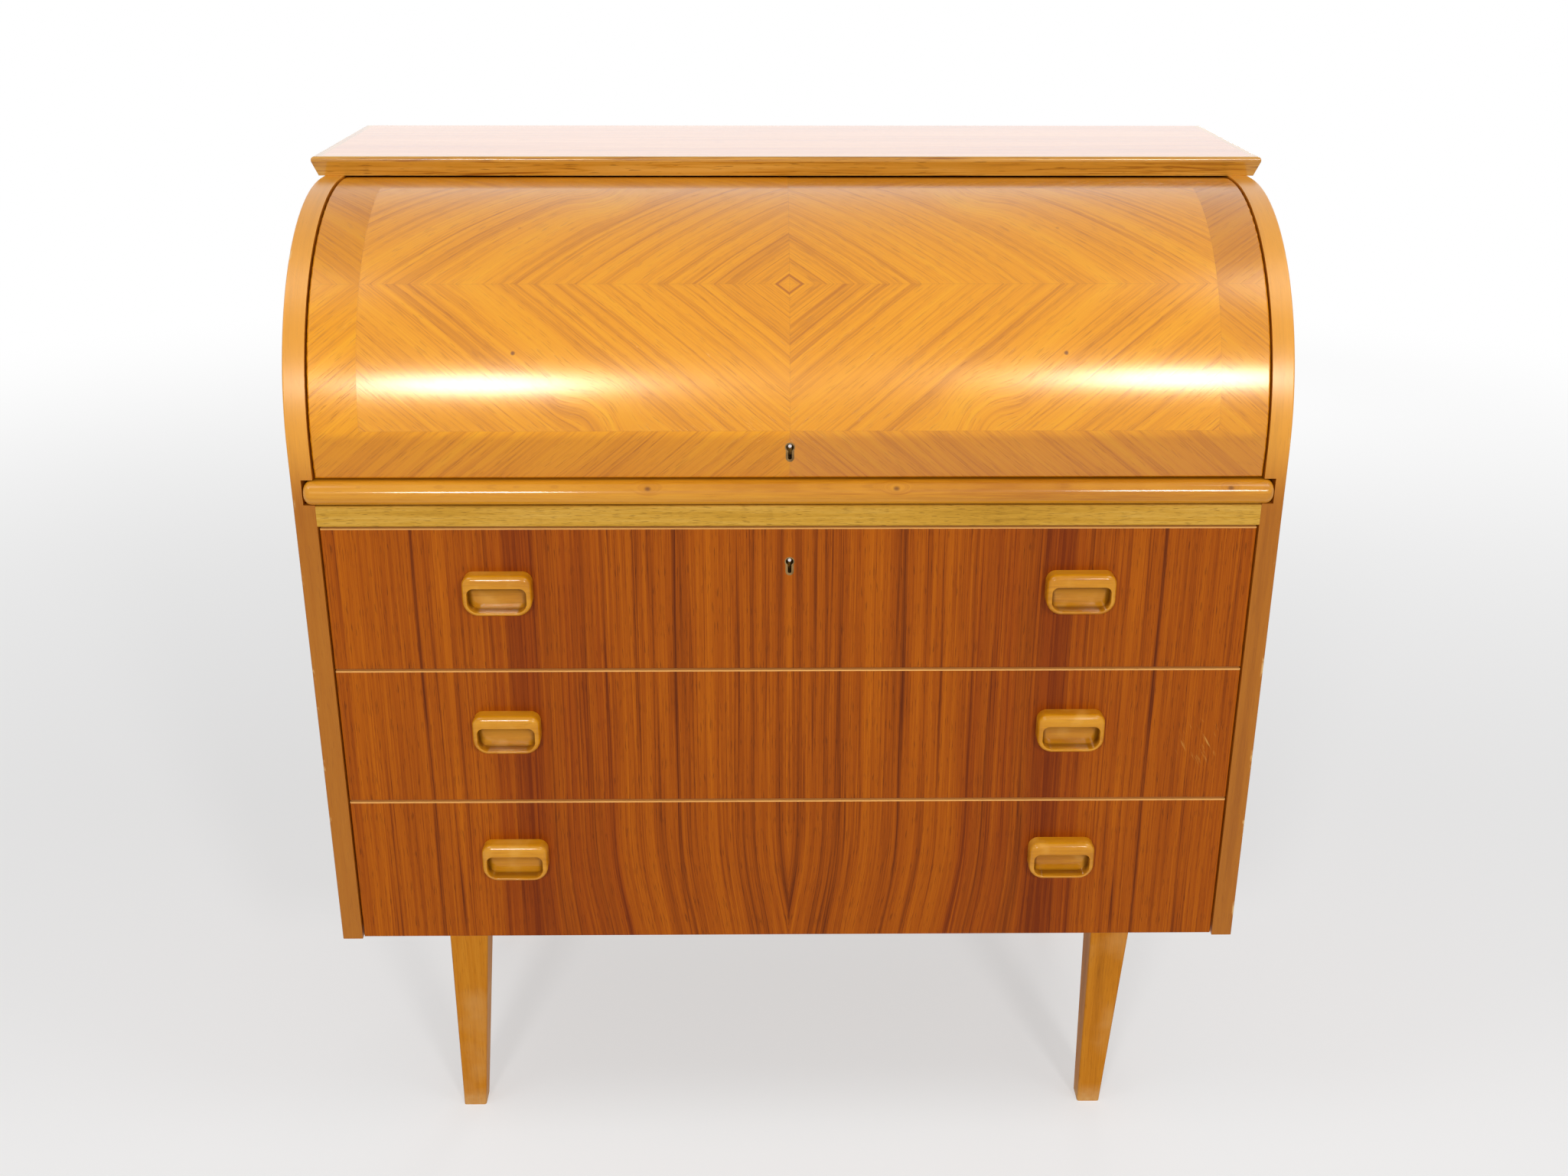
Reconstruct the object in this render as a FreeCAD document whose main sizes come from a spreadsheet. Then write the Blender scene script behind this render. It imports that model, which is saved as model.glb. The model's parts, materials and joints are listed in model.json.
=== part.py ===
"""Roll top secretary desk: a case on four tapered legs, three drawers, a pull-out writing slide
and a one-piece quarter-round roll that turns back over a row of pigeonholes.

Frame: X to the right, the front faces -Y, Z up from the floor, origin under the middle of the desk.
"""
import FreeCAD, Part
import Sketcher
import math
import os
from types import SimpleNamespace

# Driving dimensions, millimetres and degrees
SIZES = {
    # Case
    "case_width": 900,          # over the side panels
    "panel": 20,                # side panel thickness
    "arc_radius": 209.5,        # quarter round at the top of the side panels
    "back_room": 36.5,          # free depth behind the open roll
    "back_thick": 6,
    "back_inset": 1,            # back panel in from the side panels' rear edges
    "rebate": 8,                # how far the back panel laps into each side panel
    "edge_round": 1.5,          # eased edges of panels and fronts
    "board_thick": 18.5,        # top board
    "board_over": 10,           # its overhang at each side
    "board_behind": 11.5,       # its front edge, behind the roll's axis
    "board_undercut": 5,        # how far its moulded edge slopes in below the lip
    "board_lip": 4.5,           # height of the lip above that slope
    "bottom_thick": 16,
    "bottom_raise": 4,          # underside of the bottom panel above the side panels' feet
    # Legs
    "leg_height": 250,
    "leg_top": 42,
    "leg_foot": 24,
    "leg_round": 2.5,
    "leg_inset_left": 96.5,
    "leg_inset_right": 89,
    "leg_inset_front": 51,
    "leg_inset_rear": 51,
    "plate_size": 64,
    "plate_thick": 3,
    "leg_bolt": 4,              # radius of the bolt in each leg
    "leg_bolt_deep": 45,
    "leg_bolt_high": 10,        # its length in the bottom panel
    # Drawers
    "front_low": 155,           # heights of the three drawer fronts
    "front_mid": 139,
    "front_top": 141.5,
    "front_gap": 2,             # gap above each front
    "front_reveal": 1.5,        # lowest front above the side panels' feet
    "front_thick": 18,
    "front_recess": 1,          # fronts behind the side panels' front edges
    "front_side_gap": 1.5,
    "side_thick": 13,
    "side_gap": 2,              # drawer side to side panel
    "side_rise": 6.5,           # bottom of a drawer side above the bottom of its front
    "side_drop": 16,            # top of a drawer side below the top of its front
    "drawer_floor_gap": 2.5,    # lowest drawer above the bottom panel
    "drawer_back": 12,          # thickness of a drawer's back
    "drawer_rear_gap": 56.5,    # closed drawer to back panel
    "drawer_bottom": 4,
    "bottom_rise": 8,           # drawer bottom above the lower edge of its sides
    "bottom_groove": 5,
    "runner_wide": 8,
    "runner_high": 14,
    "runner_gap": 0.5,          # play of a runner in its groove
    "runner_start": 30,         # front end of a runner behind the case front
    # Handles
    "handle_width": 64,
    "handle_height": 40,
    "handle_depth": 15,
    "handle_corner": 9.5,       # upper corners
    "handle_low_corner": 15,
    "handle_round": 5,
    "recess_width": 54.5,
    "recess_corner": 6,         # upper corners
    "recess_low_corner": 10,
    "recess_lip": 4,            # wood below the finger recess
    "grip_height": 12,          # wood above it
    "recess_floor": 3,          # wood behind it
    "recess_ease": 0.8,         # rounding of its rim
    "undercut_high": 6,         # finger room behind the upper grip
    "undercut_deep": 6,
    "handle_spread": 269.5,     # handle centres from the middle
    "handle_drop": 62,          # handle centres below the top of each front
    # Bed, writing slide and pull bar
    "bed_thick": 20,
    "bed_end_gap": 19,          # rear end of the bed inside the roll's sweep
    "lipping": 12,
    "slide_thick": 16,
    "slide_gap": 0.4,           # play over the bed
    "slide_side_gap": 1,
    "slide_end_gap": 25,        # rear end of the slide short of the bed's end
    "guide_wide": 10,           # strips over the slide's edges
    "guide_high": 7,
    "bar_height": 22,
    "bar_gap": 2,               # bar above the bed
    "bar_proud": 10,
    "bar_back": 32,             # rear of the bar behind the case front
    "bar_reach": 8.5,           # how far each end laps into a side panel's notch
    "bar_round": 7,
    "notch_gap": 2,
    # Roll
    "roll_clear": 1,            # roll surface inside the panels' curve
    "roll_thick": 12,
    "roll_gap": 2,              # lower edge above the bar
    "roll_high": 98,            # angle of the rear edge above the front horizontal
    "roll_side_gap": 1.5,
    "arm_thick": 10,
    "arm_inset": 1,             # arm behind the end of the roll
    "arm_low": 14,              # angles of the arm's straight edges
    "arm_high": 80,
    "hub_radius": 20,
    "hub_gap": 3.8,             # hub above the pigeonhole base
    "pin_radius": 5,
    "pin_deep": 12,             # pin in the side panel
    "pin_past": 1,              # pin past the arm's inner face
    "pin_clear": 0.05,
    # Locks
    "lock_width": 56,
    "lock_height": 46,
    "lock_thick": 11,
    "lock_edge": 1.5,           # lock case inside the edge that its bolt leaves
    "bolt_width": 12,
    "bolt_thick": 4,
    "bolt_long": 22,
    "bolt_play": 0.3,
    "bolt_throw": 8,
    "strike_width": 44,
    "strike_deep": 10,
    "strike_thick": 2,
    "key_radius": 4.6,          # round top of the keyhole liner
    "key_leg": 7.6,             # width of its lower leg
    "key_drop": 13.5,           # from the round's centre to the foot of the leg
    "key_bore": 3.5,            # radius of the key's hole
    "key_slot": 3.4,            # width of the slot for the bit
    "key_pin": 1.6,             # radius of the pin that the key turns on
    "key_pin_back": 4,          # end of the pin behind the face
    "roll_key_rise": 29,        # keyhole above the roll's lower edge
    "drawer_key_drop": 33,      # keyhole below the top of the front
    # Pigeonholes
    "pigeon_gap": 0.8,          # base above the slide
    "pigeon_board": 10,
    "pigeon_front": 60,         # front of the unit before the roll's axis
    "pigeon_rear": 125,
    "pigeon_clear": 10.8,       # top rear corner inside the roll
    "pigeon_side": 2.5,         # gap between the unit and the roll's arms
    "pigeon_back": 4,
    "pigeon_bay": 130,          # half width of the middle bay
    "tray_height": 54,          # small drawer fronts
    "tray_gap": 1,
    "tray_wall": 6,
    "tray_floor": 4,
    "tray_front": 10,
    "tray_rear_gap": 6,
    "knob_radius": 8,
    "knob_neck": 4,
    "knob_depth": 14,
    "knob_rim": 3,              # straight rim of the knob, behind its dome
    "knob_dome": 4,
}

doc = FreeCAD.newDocument("roll_top_desk")
sheet = doc.addObject("Spreadsheet::Sheet", "Sizes")
for row, (name, number) in enumerate(SIZES.items(), start=1):
    sheet.set(f"A{row}", name)
    sheet.set(f"B{row}", str(number))
    sheet.setAlias(f"B{row}", name)
doc.recompute()


class Size:
    """A length worked out from the sheet: the expression to bind, and its value now."""

    def __init__(self, text, value):
        self.text = text
        self.value = value

    @staticmethod
    def of(other):
        return other if isinstance(other, Size) else Size(str(other), float(other))

    def __add__(self, other):
        other = Size.of(other)
        return Size(f"({self.text} + {other.text})", self.value + other.value)

    def __radd__(self, other):
        return Size.of(other) + self

    def __sub__(self, other):
        other = Size.of(other)
        return Size(f"({self.text} - {other.text})", self.value - other.value)

    def __mul__(self, other):
        other = Size.of(other)
        return Size(f"({self.text} * {other.text})", self.value * other.value)

    def __rmul__(self, other):
        return Size.of(other) * self

    def __truediv__(self, other):
        other = Size.of(other)
        return Size(f"({self.text} / {other.text})", self.value / other.value)

    def __neg__(self):
        return Size(f"(0 - {self.text})", -self.value)


def root(size):
    return Size(f"sqrt({size.text})", math.sqrt(size.value))


def cosine(angle):
    return Size(f"cos({angle.text})", math.cos(math.radians(angle.value)))


def sine(angle):
    return Size(f"sin({angle.text})", math.sin(math.radians(angle.value)))


d = SimpleNamespace(**{name: Size(f"Sizes.{name}", float(sheet.get(name))) for name in SIZES})

# Places worked out from the driving dimensions
case_depth = 2 * d.arc_radius + d.back_room + d.back_thick + d.back_inset
deep = case_depth + d.handle_depth - d.front_recess
rear = deep / 2
front = rear - case_depth
axis_y = front + d.arc_radius
half = d.case_width / 2
inner = half - d.panel
back_face = rear - d.back_inset
inner_back = back_face - d.back_thick

foot = d.leg_height
bottom_low = foot + d.bottom_raise
bottom_top = bottom_low + d.bottom_thick
low_base = foot + d.front_reveal
mid_base = low_base + d.front_low + d.front_gap
top_base = mid_base + d.front_mid + d.front_gap
bed_low = top_base + d.front_top + d.front_gap
bed_top = bed_low + d.bed_thick
slide_low = bed_top + d.slide_gap
slide_top = slide_low + d.slide_thick
bar_low = bed_top + d.bar_gap
bar_top = bar_low + d.bar_height
pigeon_low = slide_top + d.pigeon_gap
pigeon_floor = pigeon_low + d.pigeon_board
axis_z = pigeon_floor + d.hub_gap + d.hub_radius
case_top = axis_z + d.arc_radius

roll_outer = d.arc_radius - d.roll_clear
roll_inner = roll_outer - d.roll_thick
roll_low = bar_top + d.roll_gap
roll_end = inner - d.roll_side_gap
arm_face = roll_end - d.arm_inset
bed_end = axis_y + roll_inner - d.bed_end_gap
slide_end = bed_end - d.slide_end_gap
bar_rear = front + d.bar_back
bar_end = inner + d.bar_reach
front_face = front + d.front_recess
front_back = front_face + d.front_thick


def bind(thing, name, size):
    """Tie a property to the sheet, or set a plain value."""
    if isinstance(size, Size):
        thing.setExpression(name, size.text)
    else:
        setattr(thing, name, size)


def place(thing, x, y, z):
    for letter, size in zip("xyz", (x, y, z)):
        thing.setExpression(f"Placement.Base.{letter}", Size.of(size).text)


def block(name, x, y, z):
    """A board between two planes on each axis."""
    thing = doc.addObject("Part::Box", name)
    for side, (low, high) in zip(("Length", "Width", "Height"), (x, y, z)):
        bind(thing, side, Size.of(high) - low)
    place(thing, x[0], y[0], z[0])
    return thing


TURN = {
    "x": FreeCAD.Rotation(FreeCAD.Vector(0, 1, 0), 90),
    "y": FreeCAD.Rotation(FreeCAD.Vector(1, 0, 0), -90),
    "z": FreeCAD.Rotation(),
}


def rod(name, radius, base, length, along):
    """A round bar that starts at base and runs along a positive axis."""
    thing = doc.addObject("Part::Cylinder", name)
    bind(thing, "Radius", radius)
    bind(thing, "Height", length)
    thing.Placement = FreeCAD.Placement(FreeCAD.Vector(), TURN[along])
    place(thing, *base)
    return thing


def cut(name, base, *tools):
    for tool in tools:
        result = doc.addObject("Part::Cut", name)
        result.Base = base
        result.Tool = tool
        base = result
    return base


def fuse(name, *things):
    result = doc.addObject("Part::MultiFuse", name)
    result.Shapes = list(things)
    return result


def group(name, *things):
    """Several separate solids under one name."""
    result = doc.addObject("Part::Compound", name)
    result.Links = list(things)
    return result


def mirror(name, source):
    """The same piece on the other side of the desk's middle plane."""
    result = doc.addObject("Part::Mirroring", name)
    result.Source = source
    result.Normal = FreeCAD.Vector(1, 0, 0)
    return result


def body(name):
    return doc.addObject("PartDesign::Body", name)


def sketch(owner, plane, offset=0):
    """A sketch on a plane of the body's origin, moved along the plane's normal."""
    support = next(item for item in owner.Origin.OriginFeatures if item.Role == plane)
    result = owner.newObject("Sketcher::SketchObject", f"{owner.Name}_sketch")
    result.AttachmentSupport = [(support, "")]
    result.MapMode = "FlatFace"
    bind(result, "AttachmentOffset.Base.z", Size.of(offset))
    return result


def pin_point(flat, geometry, vertex, across, up):
    """Tie a point of a sketch to its two coordinates."""
    for kind, size in (("DistanceX", across), ("DistanceY", up)):
        size = Size.of(size)
        number = flat.addConstraint(Sketcher.Constraint(kind, -1, 1, geometry, vertex, size.value))
        flat.setExpression(f"Constraints[{number}]", size.text)


def outline(flat, *corners):
    """A closed outline. Each corner is (across, up), with the centre and turning sense of the arc
    that leads to the next corner where that stretch is round."""
    spots = [FreeCAD.Vector(Size.of(c[0]).value, Size.of(c[1]).value, 0) for c in corners]
    ends = []
    for number, corner in enumerate(corners):
        here = spots[number]
        there = spots[(number + 1) % len(corners)]
        if len(corner) == 2:
            index = flat.addGeometry(Part.LineSegment(here, there), False)
            ends.append((index, 1, 2))
            continue
        centre_x, centre_y, sense = corner[2:]
        centre = FreeCAD.Vector(Size.of(centre_x).value, Size.of(centre_y).value, 0)
        first, last = (here, there) if sense == "left" else (there, here)
        start = math.atan2(first.y - centre.y, first.x - centre.x)
        stop = math.atan2(last.y - centre.y, last.x - centre.x)
        circle = Part.Circle(centre, FreeCAD.Vector(0, 0, 1), (here - centre).Length)
        index = flat.addGeometry(Part.ArcOfCircle(circle, start, stop), False)
        ends.append((index, 1, 2) if sense == "left" else (index, 2, 1))
        chord = there - here
        kind, size = ("DistanceX", centre_x) if abs(chord.y) > abs(chord.x) else ("DistanceY", centre_y)
        size = Size.of(size)
        tie = flat.addConstraint(Sketcher.Constraint(kind, -1, 1, index, 3, size.value))
        flat.setExpression(f"Constraints[{tie}]", size.text)
    for number, (index, first, last) in enumerate(ends):
        following = ends[(number + 1) % len(ends)]
        flat.addConstraint(Sketcher.Constraint("Coincident", index, last, following[0], following[1]))
    for (index, first, last), corner in zip(ends, corners):
        pin_point(flat, index, first, corner[0], corner[1])


def rectangle(flat, across, up):
    outline(flat, (across[0], up[0]), (across[1], up[0]), (across[1], up[1]), (across[0], up[1]))


def pad(owner, flat, length, both_ways=False, backwards=False):
    result = owner.newObject("PartDesign::Pad", f"{owner.Name}_pad")
    result.Profile = flat
    bind(result, "Length", length)
    result.Midplane = both_ways
    result.Reversed = backwards
    doc.recompute()
    return result


def pocket(owner, flat, length, backwards=False):
    """Cut a sketch into the body, and make sure that it did cut."""
    before = owner.Shape.Volume
    result = owner.newObject("PartDesign::Pocket", f"{owner.Name}_pocket")
    result.Profile = flat
    bind(result, "Length", length)
    result.Reversed = backwards
    doc.recompute()
    if owner.Shape.Volume >= before:
        raise ValueError(f"{owner.Name}: a pocket cuts nothing")
    return result


def at(**planes):
    """A test for edges that lie in the given planes, such as y=front."""
    def test(edge):
        box = edge.BoundBox
        for letter, size in planes.items():
            low = getattr(box, f"{letter.upper()}Min")
            high = getattr(box, f"{letter.upper()}Max")
            if max(abs(low - size.value), abs(high - size.value)) > 0.01:
                return False
        return True
    return test


def dress(owner, kind, tests, **sizes):
    """Round or bevel the edges of the body's last feature that pass any of the tests."""
    doc.recompute()
    base = owner.Tip
    names = [f"Edge{number}" for number, edge in enumerate(base.Shape.Edges, start=1)
             if any(test(edge) for test in tests)]
    result = owner.newObject(f"PartDesign::{kind}", f"{owner.Name}_{kind.lower()}")
    result.Base = (base, names)
    for name, size in sizes.items():
        bind(result, name, size)
    doc.recompute()
    return result


nodes = []


def node(thing, name):
    """Name a finished sub-part."""
    thing.Label = name
    nodes.append(thing)
    return thing


def board(name, x, y, z, tests, radius):
    """A board with some of its edges eased."""
    owner = body(name)
    flat = sketch(owner, "XY_Plane", z[0])
    rectangle(flat, x, y)
    pad(owner, flat, Size.of(z[1]) - z[0])
    dress(owner, "Fillet", tests, Radius=radius)
    return owner


def keyhole(name, radius, leg, drop, x, y, z):
    """A keyhole-shaped bar through the planes of y: a round with a round-footed leg below it."""
    foot_z = z - drop + leg / 2
    round_top = rod(f"{name}_round", radius, (x, y[0], z), y[1] - y[0], "y")
    lower = block(f"{name}_leg", (x - leg / 2, x + leg / 2), y, (foot_z, z))
    round_foot = rod(f"{name}_foot", leg / 2, (x, y[0], foot_z), y[1] - y[0], "y")
    return fuse(name, round_top, lower, round_foot)


slot_drop = d.key_drop - (d.key_leg - d.key_slot) / 2

# Roll pivot pins, seated in the side panels and running in the roll's arms
pin_start = arm_face - d.arm_thick - d.pin_past
pin_end = inner + d.pin_deep
pin_right = rod("pin_right", d.pin_radius, (pin_start, axis_y, axis_z), pin_end - pin_start, "x")
pin_left = mirror("pin_left", pin_right)
node(group("pivot_pins", pin_left, pin_right), "roll_pivot_pins")

# Side panel: straight front, quarter round up to the top board
right = body("side_right")
profile = sketch(right, "YZ_Plane", inner)
outline(profile, (front, foot), (rear, foot), (rear, case_top),
        (axis_y, case_top, axis_y, axis_z, "left"), (front, axis_z))
pad(right, profile, d.panel)
notch = sketch(right, "YZ_Plane", inner)
notch_low = bar_low - d.notch_gap / 2
notch_high = bar_top + d.notch_gap / 2
rectangle(notch, (front - d.panel, bar_rear + d.notch_gap), (notch_low, notch_high))
pocket(right, notch, d.bar_reach + d.notch_gap, backwards=True)
lap = sketch(right, "YZ_Plane", inner)
rectangle(lap, (inner_back, rear + d.panel), (foot - d.panel, case_top + d.panel))
pocket(right, lap, d.rebate, backwards=True)
seat = sketch(right, "YZ_Plane", inner)
spot = seat.addGeometry(Part.Circle(FreeCAD.Vector(axis_y.value, axis_z.value, 0),
                                    FreeCAD.Vector(0, 0, 1), d.pin_radius.value), False)
pin_point(seat, spot, 3, axis_y, axis_z)
ring = seat.addConstraint(Sketcher.Constraint("Radius", spot, d.pin_radius.value))
seat.setExpression(f"Constraints[{ring}]", d.pin_radius.text)
pocket(right, seat, d.pin_deep, backwards=True)


def front_line(edge):
    """Edges of the panel's outer face that run up the front and over the quarter round."""
    middle = edge.valueAt((edge.FirstParameter + edge.LastParameter) / 2)
    on_face = abs(edge.BoundBox.XMin - half.value) < 0.01
    return on_face and (abs(middle.y - front.value) < 0.01 or edge.Curve.TypeId == "Part::GeomCircle")


dress(right, "Fillet", [front_line], Radius=d.edge_round)
node(right, "side_panel_right")
node(mirror("side_left", right), "side_panel_left")

# Top board: a lip above an edge that slopes in below it
board_half = half + d.board_over
board_front = axis_y + d.board_behind
board_top = case_top + d.board_thick
top = body("top")
flat = sketch(top, "XY_Plane", case_top)
rectangle(flat, (-board_half, board_half), (board_front, rear))
pad(top, flat, d.board_thick)
dress(top, "Chamfer", [at(z=case_top, y=board_front), at(z=case_top, x=board_half),
                       at(z=case_top, x=-board_half)],
      ChamferType="Two distances", Size=d.board_thick - d.board_lip, Size2=d.board_undercut)
dress(top, "Fillet", [at(z=board_top, y=board_front), at(z=board_top, x=board_half),
                      at(z=board_top, x=-board_half)], Radius=d.board_lip * 2 / 3)
node(top, "top_board")

# Legs, with the plates and bolts that hold them
leg_bolt_low = bottom_low - d.plate_thick - d.leg_bolt_deep
leg_long = bottom_low - d.plate_thick
leg_places = {
    "leg_front_left": (-half + d.leg_inset_left, front + d.leg_inset_front, 1),
    "leg_front_right": (half - d.leg_inset_right - d.leg_top, front + d.leg_inset_front, 1),
    "leg_rear_left": (-half + d.leg_inset_left, rear - d.leg_inset_rear, -1),
    "leg_rear_right": (half - d.leg_inset_right - d.leg_top, rear - d.leg_inset_rear, -1),
}
bolts = []
plates = []
for name, (left, face, way) in leg_places.items():
    leg = body(f"{name}_wood")
    top_face = sketch(leg, "XY_Plane", leg_long)
    rectangle(top_face, (left, left + d.leg_top), (face, face + way * d.leg_top))
    foot_face = sketch(leg, "XY_Plane")
    rectangle(foot_face, (left, left + d.leg_foot), (face, face + way * d.leg_foot))
    loft = leg.newObject("PartDesign::AdditiveLoft", f"{name}_loft")
    loft.Profile = top_face
    loft.Sections = [foot_face]
    doc.recompute()
    dress(leg, "Fillet", [lambda edge: edge.BoundBox.ZLength > edge.BoundBox.XLength * 2 + 1],
          Radius=d.leg_round)
    middle = (left + d.leg_top / 2, face + way * d.leg_top / 2)
    bolt = rod(f"{name}_bolt", d.leg_bolt, (*middle, leg_bolt_low),
               d.leg_bolt_deep + d.plate_thick + d.leg_bolt_high, "z")
    plate = block(f"{name}_plate", (middle[0] - d.plate_size / 2, middle[0] + d.plate_size / 2),
                  (middle[1] - d.plate_size / 2, middle[1] + d.plate_size / 2), (leg_long, bottom_low))
    bolts.append(bolt)
    plates.append(cut(f"{name}_holed_plate", plate, bolt))
    node(cut(f"{name}_bored", leg, bolt), name)
node(group("plates", *plates), "leg_plates")
node(group("bolts", *bolts), "leg_bolts")

# Bottom and back
bottom = block("bottom_blank", (-inner, inner), (front_back + d.side_gap, inner_back),
               (bottom_low, bottom_top))
node(cut("bottom", bottom, *bolts), "bottom_panel")
node(block("back", (-inner - d.rebate, inner + d.rebate), (inner_back, back_face), (foot, case_top)),
     "back_panel")

# Bed under the writing slide, with its pale front lipping and the strike of the top drawer's lock
drawer_bolt_y = front_back + d.lock_thick / 2
strike_x = (-d.strike_width / 2, d.strike_width / 2)
bolt_x = (-d.bolt_width / 2, d.bolt_width / 2)
hole_x = (-d.bolt_width / 2 - d.bolt_play, d.bolt_width / 2 + d.bolt_play)


def strike(name, y, z, mortise_z):
    """A strike plate, its seat in the wood and the mortise under it."""
    plate_y = (y - d.strike_deep / 2, y + d.strike_deep / 2)
    hole_y = (y - d.bolt_thick / 2 - d.bolt_play, y + d.bolt_thick / 2 + d.bolt_play)
    plate = block(f"{name}_plate", strike_x, plate_y, z)
    mortise = block(f"{name}_mortise", hole_x, hole_y, mortise_z)
    return plate, mortise, cut(f"{name}_holed", plate, mortise)


bed_strike, bed_mortise, bed_keep = strike("bed_strike", drawer_bolt_y, (bed_low, bed_low + d.strike_thick),
                                           (bed_low, bed_low + d.bolt_throw + d.strike_thick))
bed = block("bed_blank", (-inner, inner), (front + d.lipping, bed_end), (bed_low, bed_top))
node(cut("bed", bed, bed_strike, bed_mortise), "desk_bed")
node(bed_keep, "drawer_lock_strike")
node(board("lipping", (-inner, inner), (front, front + d.lipping), (bed_low, bed_top),
           [at(y=front, z=bed_low), at(y=front, z=bed_top)], d.edge_round), "bed_lipping")

# Writing slide: the board, the round-nosed pull bar and the strike of the roll's lock
drop = axis_z - roll_low
outer_low = axis_y - root(roll_outer * roll_outer - drop * drop)
inner_low = axis_y - root(roll_inner * roll_inner - drop * drop)
lock_rise = roll_low + d.lock_edge + d.lock_height - axis_z
lock_reach = max(drop, lock_rise, key=lambda size: size.value)
roll_lock_face = axis_y - root(roll_inner * roll_inner - lock_reach * lock_reach)
roll_bolt_y = roll_lock_face + d.lock_thick / 2
slide_half = inner - d.slide_side_gap
guide = block("guide", (inner - d.guide_wide, inner), (bar_rear + d.notch_gap, axis_y - d.pigeon_front),
              (pigeon_low, pigeon_low + d.guide_high))
node(group("guides", mirror("guide_l", guide), guide), "slide_guides")
node(block("slide", (-slide_half, slide_half), (bar_rear, slide_end), (slide_low, slide_top)),
     "writing_board")
nose = d.bar_height / 2
nose_y = front - d.bar_proud + nose
bar = body("bar")
section = sketch(bar, "YZ_Plane")
outline(section, (bar_rear, bar_low), (bar_rear, bar_top),
        (nose_y, bar_top, nose_y, bar_low + nose, "left"), (nose_y, bar_low))
pad(bar, section, 2 * bar_end, both_ways=True)
dress(bar, "Fillet", [lambda edge: edge.Curve.TypeId == "Part::GeomCircle"], Radius=d.bar_round)
bar_strike, bar_mortise, bar_keep = strike("bar_strike", roll_bolt_y, (bar_top - d.strike_thick, bar_top),
                                           (bar_top - d.bolt_throw - d.strike_thick, bar_top))
node(cut("bar_cut", bar, bar_strike, bar_mortise), "writing_bar")
node(bar_keep, "roll_lock_strike")

# Roll: a bent panel with a level lower edge, its two arms, its lock and keyhole
high_cos = cosine(d.roll_high)
high_sin = sine(d.roll_high)
shell = body("shell")
section = sketch(shell, "YZ_Plane")
outline(section,
        (axis_y - roll_outer * high_cos, axis_z + roll_outer * high_sin, axis_y, axis_z, "left"),
        (outer_low, roll_low), (inner_low, roll_low, axis_y, axis_z, "right"),
        (axis_y - roll_inner * high_cos, axis_z + roll_inner * high_sin))
pad(shell, section, 2 * roll_end, both_ways=True)
dress(shell, "Fillet", [lambda edge: edge.Curve.TypeId == "Part::GeomCircle" and
                        abs(edge.Curve.Radius - roll_outer.value) < 0.01,
                        at(y=outer_low, z=roll_low)], Radius=d.edge_round)
roll_key_z = roll_low + d.roll_key_rise
roll_key_y = (axis_y - roll_outer, roll_lock_face)
roll_liner = keyhole("roll_liner", d.key_radius, d.key_leg, d.key_drop, Size.of(0), roll_key_y, roll_key_z)
roll_bore = keyhole("roll_bore", d.key_bore, d.key_slot, slot_drop, Size.of(0), roll_key_y, roll_key_z)
node(cut("roll_shell", shell, roll_liner), "roll_panel")
node(cut("roll_rim", roll_liner, roll_bore), "roll_keyhole")

arm = body("arm")
wedge = sketch(arm, "YZ_Plane", arm_face)


def rim(angle, radius):
    return axis_y - radius * cosine(angle), axis_z + radius * sine(angle)


outline(wedge, (axis_y, axis_z), (*rim(d.arm_high, roll_inner), axis_y, axis_z, "left"),
        rim(d.arm_low, roll_inner))
pad(arm, wedge, d.arm_thick, backwards=True)
hub = rod("hub", d.hub_radius, (arm_face - d.arm_thick, axis_y, axis_z), d.arm_thick, "x")
bore = rod("bore", d.pin_radius + d.pin_clear, (arm_face - 2 * d.arm_thick, axis_y, axis_z),
           3 * d.arm_thick, "x")
arm_right = node(cut("arm_bored", fuse("arm_hub", arm, hub), bore), "roll_arm_right")
node(mirror("arm_left", arm_right), "roll_arm_left")


def lock(name, face, low, way, key_y, key_z):
    """A lock case behind a face, with the pin that the key turns on and the bolt in its channel.
    way is 1 for a bolt that rises."""
    channel_y = face + d.lock_thick / 2
    box = block(f"{name}_box", (-d.lock_width / 2, d.lock_width / 2), (face, face + d.lock_thick),
                (low, low + d.lock_height))
    pin_y = key_y + d.key_pin_back
    pin = rod(f"{name}_pin", d.key_pin, (0, pin_y, key_z), face - pin_y, "y")
    case = fuse(f"{name}_pinned", box, pin)
    bolt_low = low + d.lock_height - d.bolt_long if way > 0 else low
    bolt = block(f"{name}_slide", bolt_x, (channel_y - d.bolt_thick / 2, channel_y + d.bolt_thick / 2),
                 (bolt_low, bolt_low + d.bolt_long))
    slot_low, slot_high = ((bolt_low - d.bolt_play, low + d.lock_height) if way > 0
                           else (low, bolt_low + d.bolt_long + d.bolt_play))
    slot_y = (channel_y - d.bolt_thick / 2 - d.bolt_play, channel_y + d.bolt_thick / 2 + d.bolt_play)
    slot = block(f"{name}_slot", hole_x, slot_y, (slot_low, slot_high))
    return cut(f"{name}_slotted", case, slot), bolt


roll_lock, roll_bolt = lock("roll_lock", roll_lock_face, roll_low + d.lock_edge, -1, axis_y - roll_outer,
                            roll_key_z)
node(roll_lock, "roll_lock_case")
node(roll_bolt, "roll_lock_bolt")


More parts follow.
